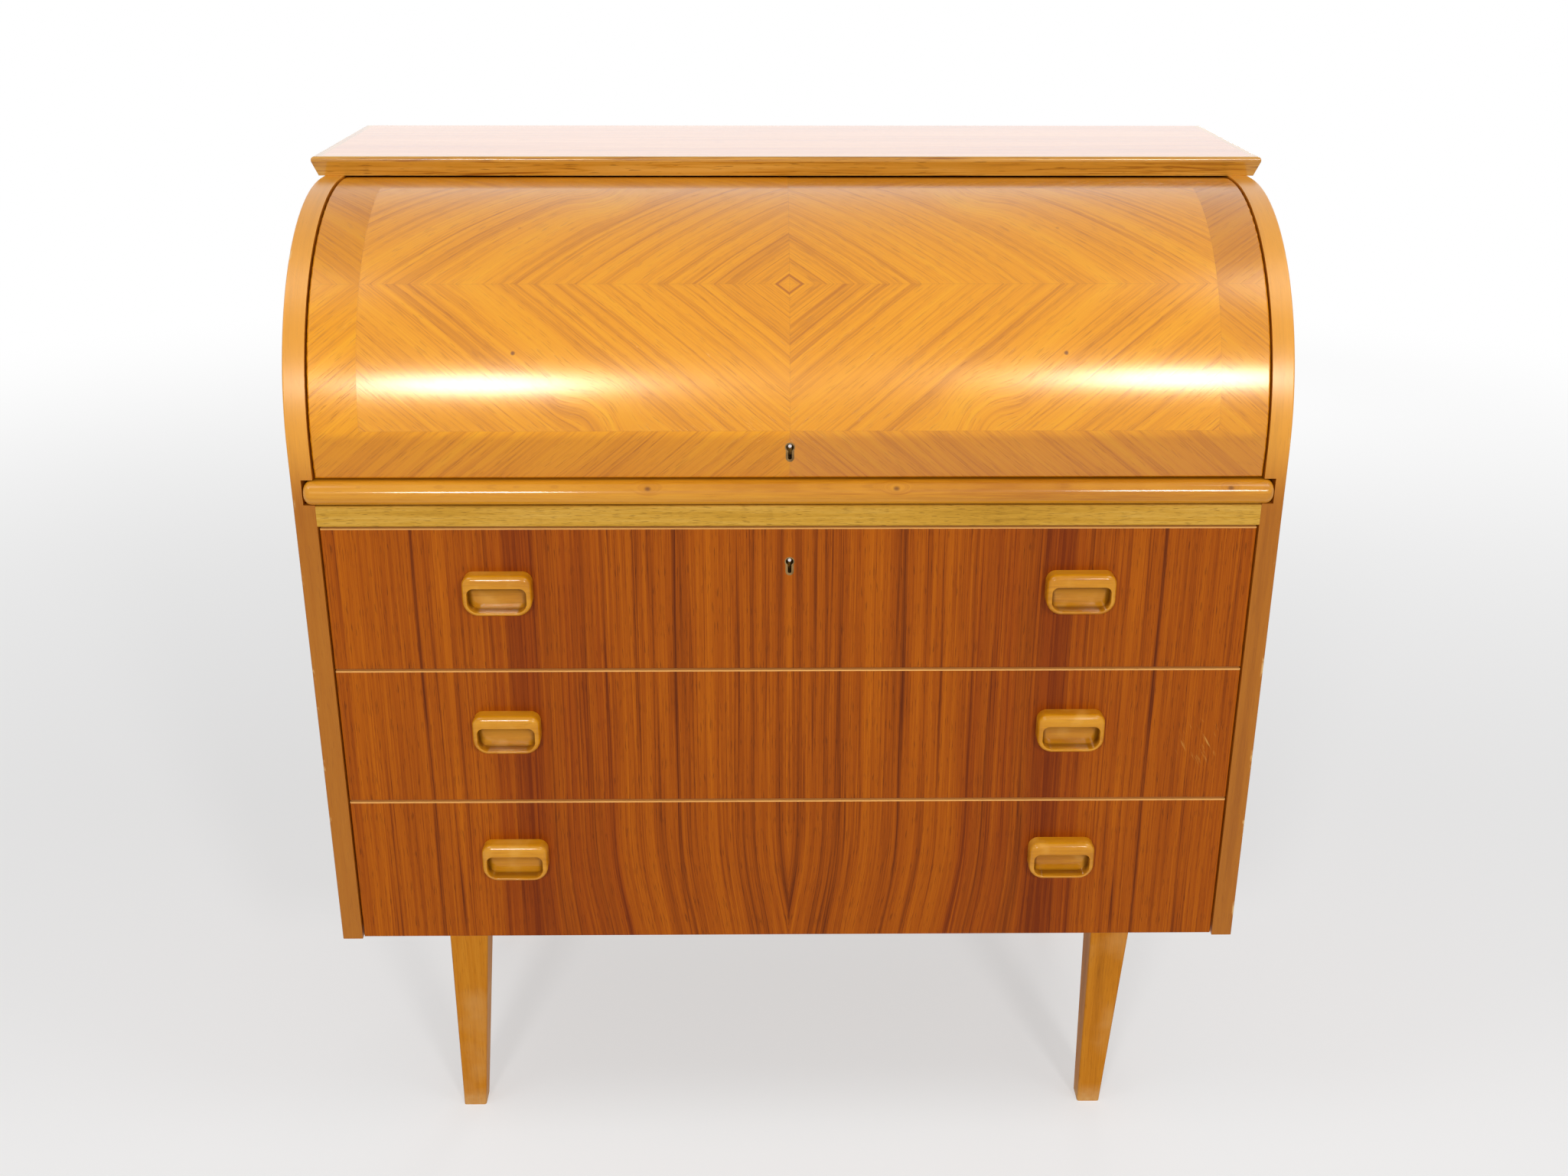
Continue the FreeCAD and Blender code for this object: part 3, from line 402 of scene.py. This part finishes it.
def case_veneer():
    """Side panels: upright veneer outside, and an edging that follows the front and its quarter round."""
    f = Finish("case_veneer")
    back = (axis.y - f.y).math("MAXIMUM", 0.0)
    up = (f.z - axis.z).math("MAXIMUM", 0.0)
    out = (back * back + up * up).math("SQRT")
    depth = case_radius - out
    along = f.z.math("MINIMUM", axis.z) + up.math("ARCTAN2", back) * case_radius
    side = abs(f.x)
    edging, edge_relief = timber(f.x, along, 3.0, HONEY)
    bent = rise(f.z, axis.z + BEND_START, axis.z + BEND_END)
    # Painted shade darkens the straight edging below the quarter round, and a painted highlight lightens the
    # quarter round to gold.
    edging = mix(edging, rgb(134, 64, 6), (1 - bent) * 0.58)
    edging = mix(edging, rgb(234, 160, 30), bent * 0.5)
    broad, broad_relief = timber(f.y + f.x * 0.8, f.z, 7.0, TEAK_SIDE)
    on_edge = fall(depth, *EDGE_DEPTH)
    colour = mix(broad, edging, on_edge)
    corner = fall(abs(side - side_high.x), 0.6 * MM, 3 * MM) * fall(depth, 0.5 * MM, 2.5 * MM)
    chips = corner * rise(streaks(f.x, along, 9.0, 45.0, 1.5, 5.0), 0.58, 0.64)
    colour = mix(colour, rgb(226, 186, 120), chips * 0.8)
    return f.coat(colour, 0.46 - on_edge * 0.1, broad_relief + edge_relief * on_edge, 0.04 * MM,
                  Coat_Weight=on_edge * (bent * 0.78 + 0.1) + 0.12, **EDGE_COAT)


def top_veneer():
    """Top board: grain along the desk, with a solid edging mitred at the corners."""
    f = Finish("top_veneer")
    end = board_high.x - abs(f.x)
    fore = f.y - board_low.y
    face, relief = timber(f.y + f.z * 0.9, f.x, 2.0, TEAK_TOP)
    front_edge, _ = timber(f.z + f.y, f.x, 6.0, EDGING)
    end_edge, _ = timber(f.z + f.x, f.y, 8.0, EDGING)
    edging = mix(front_edge, end_edge, rise(fore - end, -MITRE, MITRE))
    inset = end.math("MINIMUM", fore)
    colour = mix(face, edging, fall(inset, BOARD_EDGE - MITRE, BOARD_EDGE + MITRE))
    return f.coat(colour, 0.4, relief, 0.03 * MM, **POLISH)


# Pull bar, lipping, drawer pulls and legs
BAR_KNOTS = (-128 * MM, 96 * MM, 398 * MM)
KNOT_DROP = 5 * MM
KNOT_STRETCH = 0.6
KNOT_SIZE = (0.4 * MM, 2.6 * MM)
KNOT_RINGS = (1 * MM, 9 * MM)
RECESS_IN = (2 * MM, 8 * MM)
RECESS_HALF_WIDTH = (28.4 * MM, 28.8 * MM)
RECESS_HALF_HEIGHT = (16.4 * MM, 16.8 * MM)
UNDER_GRIP = (13 * MM, 28 * MM)
RECESS_ENDS = (21 * MM, 27 * MM)
SILL = (4 * MM, 6.5 * MM)
GRIP_SHADE = (21.5 * MM, 25 * MM)
FOOT_WEAR = (2 * MM, 26 * MM)


def bar_wood():
    """Pull bar: solid wood along the desk with a few small knots."""
    f = Finish("bar_wood")
    round_way = f.z - f.y
    rings = 0
    knots = 0
    for place in BAR_KNOTS:
        gap = far_from(f.x * KNOT_STRETCH, f.z, (place * KNOT_STRETCH, bar_high.z - KNOT_DROP))
        knots = fall(gap, *KNOT_SIZE) + knots
        rings = fall(gap, *KNOT_RINGS) + rings
    colour, relief = timber(round_way + rings * 5 * MM, f.x, 5.0, AMBER, rings * -0.12)
    colour = mix(colour, rgb(96, 48, 16), knots * 0.75)
    return f.coat(colour, 0.36, relief, 0.03 * MM, **GLOSSY)


def pale_lipping():
    """Lipping of the bed: pale wood with open pores, grain along the desk."""
    f = Finish("pale_lipping")
    colour, relief = timber(f.z + f.y * 0.7, f.x, 5.0, PALE)
    return f.coat(colour, 0.55, relief, 0.05 * MM, **SATIN)


def handle_wood():
    """Drawer pulls: polished wood, rubbed in patches, with painted shade in the corners and at the sill of the
    recess, and a painted shadow under the grip.
    """
    f = Finish("handle_wood")
    colour, relief = timber(f.z + f.y * 0.6, f.x, 3.0, HANDLE)
    worn = f.cloud(22 * MM, 2.0)
    colour = mix(colour, rgb(226, 168, 72), rise(worn, 0.5, 0.75) * 0.4)
    # Masks for painted shade inside each recess: in its corners, at its sill and under the grip.
    recess_shade = 0
    shade = 0
    for name in DRAWERS:
        low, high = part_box(f"{name}_handles")
        middle = high.x - (high.z - low.z) * 0.8
        off_middle = abs(abs(f.x) - middle)
        hollow = (rise(f.y - low.y, *RECESS_IN) * fall(off_middle, *RECESS_HALF_WIDTH)
                  * fall(abs(f.z - (low.z + high.z) / 2), *RECESS_HALF_HEIGHT))
        level = f.z - low.z
        at_sill = fall(level, *SILL) * 0.6
        corners = rise(level, *UNDER_GRIP).math("MAXIMUM", rise(off_middle, *RECESS_ENDS))
        recess_shade = hollow * corners.math("MAXIMUM", at_sill) + recess_shade
        shade = rise(level, *GRIP_SHADE) * hollow + shade
    # Painted shade darkens the recess's corners and sill, and a painted shadow darkens the wood under the grip.
    colour = mix(colour, rgb(104, 58, 8), recess_shade * 0.75)
    colour = mix(colour, rgb(58, 26, 6), shade * 0.85)
    return f.coat(colour, 0.34, relief, 0.02 * MM, Coat_Weight=(1 - recess_shade) * 0.6, **GRIP_COAT)


def leg_wood():
    """Legs: upright grain, rubbed in patches and worn at the foot."""
    f = Finish("leg_wood")
    colour, relief = timber(f.x + f.y * 0.8, f.z, 6.0, LEG)
    worn = fall(f.z, *FOOT_WEAR) * f.cloud(9 * MM, 1.0, 5.0)
    rubbed = rise(f.cloud(60 * MM, 6.0, 3.0), 0.5, 0.75) * 0.25
    colour = mix(colour, rgb(214, 172, 112), worn.math("MAXIMUM", rubbed))
    return f.coat(colour, 0.5, relief, 0.04 * MM, **SATIN)


# Inside and back
def inner_wood(name, lengthwise):
    """Plain wood inside, with its grain along the desk or from front to back."""
    f = Finish(name)
    if lengthwise:
        colour, relief = timber(f.z + f.y * 0.9, f.x, 2.0, INNER)
    else:
        colour, relief = timber(f.z + f.x * 0.9, f.y, 2.0, INNER)
    return f.coat(colour, 0.62, relief, 0.05 * MM, **BARE)


def desk_lining():
    """Writing board, pigeonholes and small drawer fronts: veneer along the desk."""
    f = Finish("desk_lining")
    colour, relief = timber(f.y + f.z * 0.9, f.x, 12.0, TEAK_SIDE)
    return f.coat(colour, 0.5, relief, 0.04 * MM, **SATIN)


def board_sheet():
    """Back, bottom and drawer bottoms: brown board with a faint upright figure."""
    f = Finish("board_sheet")
    colour, relief = timber(f.x + f.y * 0.3, f.z + f.y, 9.0, SHEET)
    return f.coat(colour, 0.7, relief, 0.05 * MM, **BARE)


# Metals
KEY_RADIUS = 4.6 * MM
KEY_PIN = (1.7 * MM, 1.9 * MM)


def tarnished(f, bright, dull):
    """Metal colour with tarnish in soft patches, and the patches themselves."""
    tarnish = f.cloud(18 * MM, 4.0, 5.0)
    return mix(rgb(*bright), rgb(*dull), rise(tarnish, 0.4, 0.7)), tarnish


def metal(name, bright, dull, rough):
    """Plain metal with fine scratches."""
    f = Finish(name)
    colour, tarnish = tarnished(f, bright, dull)
    scratch = streaks(f.x + f.z, f.y, 3.0, 1500.0, 20.0)
    return f.coat(colour, tarnish * 0.2 + rough, scratch, 0.01 * MM, Metallic=1.0)


def lock_brass():
    """Brass with bright pins where the keys turn."""
    f = Finish("brass")
    colour, tarnish = tarnished(f, (206, 166, 88), (138, 100, 48))
    pins = 0
    for name in ("roll_keyhole", "drawer_keyhole"):
        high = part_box(name)[1]
        pins = fall(far_from(f.x, f.z, (0.0, high.z - KEY_RADIUS)), *KEY_PIN) + pins
    colour = mix(colour, rgb(222, 214, 212), pins)
    return f.coat(colour, tarnish * 0.2 + 0.28, Metallic=1.0)


finishes = {
    "roll_veneer": roll_veneer(),
    "drawer_veneer": drawer_veneer(),
    "case_veneer": case_veneer(),
    "top_veneer": top_veneer(),
    "pale_lipping": pale_lipping(),
    "bar_wood": bar_wood(),
    "handle_wood": handle_wood(),
    "leg_wood": leg_wood(),
    "inner_wood": inner_wood("inner_wood", False),
    "board_sheet": board_sheet(),
    "steel": metal("steel", (176, 178, 182), (120, 120, 122), 0.3),
    "brass": lock_brass(),
    "keyhole_metal": metal("keyhole_metal", (150, 120, 78), (74, 56, 34), 0.32),
}
lining = desk_lining()
long_wood = inner_wood("inner_wood_lengthwise", True)
LINED = ("writing_board", "pigeonhole", "small_drawer")
LENGTHWISE = ("bed", "back")
for part in frame["record"]["subparts"]:
    thing = frame["nodes"][part["node"]]
    slot = part["material_slot"]
    finish = finishes[slot]
    if slot == "case_veneer" and part["node"].startswith(LINED):
        finish = lining
    elif slot == "inner_wood" and part["node"].endswith(LENGTHWISE):
        finish = long_wood
    thing.data.materials.clear()
    thing.data.materials.append(finish)

# Slotted screws that hold the back, the leg plates, the locks and their strikes.
# Each size is a head's radius and its height.
CASE_SCREW = (4 * MM, 0.6 * MM)
LOCK_SCREW = (2.6 * MM, 0.6 * MM)
STRIKE_SCREW = (2.4 * MM, 0.3 * MM)
HEAD_SIDES = 28
SLOT_SHARE = 0.28
TURN_SEED = 7
EDGE_INSET = 5 * MM
EDGE_START, EDGE_STEP = 50, 104
RAIL_STEP = 140 * MM
PLATE_REACH = (-25 * MM, 25 * MM)
LOCK_INSET = 5 * MM
STRIKE_INSET = 6 * MM


def screw_nodes():
    """Geometry nodes that set a slotted screw head on every point, along the point's own facing."""
    group = bpy.data.node_groups.new("screw_heads", "GeometryNodeTree")
    sockets = group.interface
    sockets.new_socket("Points", in_out="INPUT", socket_type="NodeSocketGeometry")
    for name in ("Head Radius", "Head Height", "Slot Width"):
        sockets.new_socket(name, in_out="INPUT", socket_type="NodeSocketFloat")
    sockets.new_socket("Seed", in_out="INPUT", socket_type="NodeSocketInt")
    sockets.new_socket("Metal", in_out="INPUT", socket_type="NodeSocketMaterial")
    sockets.new_socket("Screws", in_out="OUTPUT", socket_type="NodeSocketGeometry")
    given = Wire(group).node("NodeGroupInput")
    radius, height, slot = (given.beside(name) for name in ("Head Radius", "Head Height", "Slot Width"))
    head = given.node("GeometryNodeMeshCylinder", None,
                      {"Vertices": HEAD_SIDES, "Radius": radius, "Depth": height * 2})
    reach = given.node("ShaderNodeCombineXYZ", None, {0: radius * 3, 1: slot, 2: height})
    cutter = given.node("GeometryNodeMeshCube", None, {"Size": reach})
    lifted = given.node("ShaderNodeCombineXYZ", None, {2: height})
    cutter = given.node("GeometryNodeTransform", None, {"Geometry": cutter, "Translation": lifted})
    slotted = given.node("GeometryNodeMeshBoolean", {"operation": "DIFFERENCE"},
                         {"Mesh 1": head, "Mesh 2": cutter})
    facing = given.node("GeometryNodeInputNamedAttribute", {"data_type": "FLOAT_VECTOR"}, {"Name": "facing"})
    aimed = given.node("FunctionNodeAlignRotationToVector", {"axis": "Z"}, {"Vector": facing})
    turn = given.node("FunctionNodeRandomValue", {"data_type": "FLOAT"},
                      {2: 0.0, 3: math.pi, "Seed": given.beside("Seed")}, output=1)
    turned = given.node("FunctionNodeAxisAngleToRotation", None, {"Axis": (0, 0, 1), "Angle": turn})
    pose = given.node("FunctionNodeRotateRotation", {"rotation_space": "LOCAL"},
                      {"Rotation": aimed, "Rotate By": turned})
    points = given.node("GeometryNodeMeshToPoints", None, {"Mesh": given})
    heads = given.node("GeometryNodeInstanceOnPoints", None,
                       {"Points": points, "Instance": slotted, "Rotation": pose})
    heads = given.node("GeometryNodeRealizeInstances", None, {"Geometry": heads})
    heads = given.node("GeometryNodeSetMaterial", None,
                       {"Geometry": heads, "Material": given.beside("Metal")})
    given.node("NodeGroupOutput", None, {"Screws": heads})
    return group


def screws(name, body, slot, spots, size):
    """One mesh of screw heads for a body; each spot is a place and the way the head faces."""
    radius, height = size
    seeds = bpy.data.meshes.new(f"{name}_spots")
    seeds.from_pydata([place for place, _ in spots], [], [])
    facing = seeds.attributes.new("facing", "FLOAT_VECTOR", "POINT")
    for item, (_, way) in zip(facing.data, spots):
        item.vector = way
    holder = bpy.data.objects.new(f"{name}_spots", seeds)
    bpy.context.scene.collection.objects.link(holder)
    setter = holder.modifiers.new("screw_heads", "NODES")
    setter.node_group = screw_heads
    values = {"Head Radius": radius, "Head Height": height, "Slot Width": radius * SLOT_SHARE,
              "Seed": TURN_SEED, "Metal": finishes[slot]}
    for socket in screw_heads.interface.items_tree:
        if socket.name in values:
            setter[socket.identifier] = values[socket.name]
    made = bpy.data.meshes.new_from_object(holder.evaluated_get(bpy.context.evaluated_depsgraph_get()))
    bpy.data.objects.remove(holder)
    piece = bpy.data.objects.new(name, made)
    bpy.context.scene.collection.objects.link(piece)
    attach(piece, body)


def back_screws():
    """Screws down both sides of the back panel and along the bottom panel and the bed."""
    low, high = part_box("back_panel")
    bottom = sum(corner.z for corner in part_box("bottom_panel")) / 2
    bed = sum(corner.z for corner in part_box("desk_bed")) / 2
    edges = [(side * (high.x - EDGE_INSET), low.z + (EDGE_START + EDGE_STEP * step) * MM)
             for side in (-1, 1) for step in range(7)]
    rails = [(step * RAIL_STEP, level) for level in (bottom, bed) for step in range(-2, 3)]
    return [(Vector((x, high.y, z)), Vector((0, 1, 0))) for x, z in edges + rails]


def plate_screws():
    """Screws in the corners of the four leg plates, from below."""
    spots = []
    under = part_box("leg_plates")[0].z
    for name in ("front_left", "front_right", "rear_left", "rear_right"):
        low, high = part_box(f"leg_{name}")
        top = Vector(((low.x + high.x) / 2, (low.y + high.y) / 2, under))
        for across in PLATE_REACH:
            for fore in PLATE_REACH:
                spots.append((top + Vector((across, fore, 0)), Vector((0, 0, -1))))
    return spots


def corner_screws(node):
    """Screws in the corners of a lock case's rear face."""
    low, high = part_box(node)
    return [(Vector((x, high.y, z)), Vector((0, 1, 0)))
            for x in (low.x + LOCK_INSET, high.x - LOCK_INSET)
            for z in (low.z + LOCK_INSET, high.z - LOCK_INSET)]


def end_screws(node, up):
    """Screws near both ends of a strike that faces up (1) or down (-1)."""
    low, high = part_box(node)
    middle = (low.y + high.y) / 2
    level = high.z if up > 0 else low.z
    return [(Vector((x, middle, level)), Vector((0, 0, up)))
            for x in (low.x + STRIKE_INSET, high.x - STRIKE_INSET)]


screw_heads = screw_nodes()
screws("case_screws", "case", "steel", back_screws() + plate_screws(), CASE_SCREW)
screws("drawer_lock_screws", "top_drawer", "brass", corner_screws("drawer_lock_case"), LOCK_SCREW)
screws("roll_lock_screws", "roll", "brass", corner_screws("roll_lock_case"), LOCK_SCREW)
screws("drawer_strike_screws", "case", "brass", end_screws("drawer_lock_strike", -1), STRIKE_SCREW)
screws("roll_strike_screws", "writing_slide", "brass", end_screws("roll_lock_strike", 1), STRIKE_SCREW)

# Floor, surroundings, lamps and camera
WHITE = (1, 1, 1, 1)
AMBIENT = 0.33
FLOOR_REACH = 60.0
FLOOR_GLOW = 0.45
FLOOR_FADE = (0.8, 4.0)
# Each lamp has a place, a spot that it faces, a width and height, and a glow
LAMPS = {
    "left_lamp": ((-0.82, -3.21, 1.79), (-0.28, -0.21, 0.82), (0.52, 0.48), 52),
    "right_lamp": ((1.13, -3.12, 1.92), (0.35, -0.21, 0.83), (0.52, 0.48), 52),
    "high_lamp_right": ((1.5, -0.75, 2.7), (0.3, -0.1, 0.8), (1.2, 1.2), 3.8),
    "high_lamp_left": ((-1.5, -0.75, 2.7), (-0.3, -0.1, 0.8), (1.2, 1.2), 3.4),
    "rear_lamp": ((0.7, 3.2, 0.82), (0.0, 0.24, 0.6), (1.6, 0.24), 22),
    "back_card": ((0.0, 30.0, 4.7), (0.0, 0.1, 0.99), (40.0, 5.0), 0.5),
}
EYE = Vector((-22.24, -1661.49, 1223.52)) * MM
PITCH, YAW, TILT = (math.radians(angle) for angle in (22.364, 0.682, 0.1155))
FOCAL_PIXELS = 2191.6
FRAME_PIXELS = 2049


def seen_rays(wire):
    """1 for what the eye sees, straight or in a mirror or through glass."""
    seen = wire.node("ShaderNodeLightPath", output="Is Camera Ray")
    mirrored = seen.math("MAXIMUM", seen.beside("Is Glossy Ray"))
    return mirrored.math("MAXIMUM", seen.beside("Is Transmission Ray"))


def surroundings():
    """White all round: plain light on the desk, full white where it is seen or mirrored."""
    world = bpy.data.worlds.new("surroundings")
    bpy.context.scene.world = world
    world.use_nodes = True
    world.node_tree.nodes.clear()
    seen = seen_rays(Wire(world.node_tree))
    light = seen.node("ShaderNodeBackground", None,
                      {"Color": WHITE, "Strength": seen * (1 - AMBIENT) + AMBIENT})
    light.node("ShaderNodeOutputWorld", None, {"Surface": light})


def floor():
    """A pale sheet that keeps the desk's shadow and fades to white away from it."""
    sheet = bpy.data.meshes.new("floor")
    corners = [(x * FLOOR_REACH, y * FLOOR_REACH, 0) for x, y in ((-1, -1), (1, -1), (1, 1), (-1, 1))]
    sheet.from_pydata(corners, [], [(0, 1, 2, 3)])
    ground = bpy.data.objects.new("floor", sheet)
    bpy.context.scene.collection.objects.link(ground)
    f = Finish("floor")
    plain = f.here.node("ShaderNodeBsdfDiffuse", None, {"Color": rgb(240, 240, 240)})
    glow = f.here.node("ShaderNodeEmission", None, {"Color": WHITE, "Strength": 1.0})
    fade = rise(far_from(f.x, f.y, (0.0, 0.0)), *FLOOR_FADE) * (1 - FLOOR_GLOW) + FLOOR_GLOW
    shader = f.here.node("ShaderNodeMixShader", None, {0: seen_rays(f.here) * fade, 1: plain, 2: glow})
    f.here.node("ShaderNodeOutputMaterial", None, {"Surface": shader})
    sheet.materials.append(f.material)


def lamp(name, place, aim, size, glow):
    """An oval soft lamp; glow is how bright its face looks, with 1 as white."""
    light = bpy.data.lights.new(name, "AREA")
    light.shape = "ELLIPSE"
    light.size, light.size_y = size
    light.energy = glow * math.pi * (math.pi / 4 * light.size * light.size_y)
    holder = bpy.data.objects.new(name, light)
    holder.location = place
    holder.visible_camera = False
    holder.rotation_euler = (Vector(aim) - Vector(place)).to_track_quat("-Z", "Y").to_euler()
    bpy.context.scene.collection.objects.link(holder)


def camera():
    """The eye at the photograph's angle."""
    lens = bpy.data.cameras.new("camera")
    lens.sensor_width = 36.0
    lens.lens = FOCAL_PIXELS / FRAME_PIXELS * lens.sensor_width
    view = bpy.data.objects.new("camera", lens)
    view.matrix_world = (Matrix.Translation(EYE) @ Matrix.Rotation(-YAW, 4, "Z")
                         @ Matrix.Rotation(math.pi / 2 - PITCH, 4, "X") @ Matrix.Rotation(TILT, 4, "Z"))
    bpy.context.scene.collection.objects.link(view)
    bpy.context.scene.camera = view


surroundings()
floor()
for lamp_name, lamp_values in LAMPS.items():
    lamp(lamp_name, *lamp_values)
camera()
bpy.context.scene.view_settings.view_transform = "Standard"
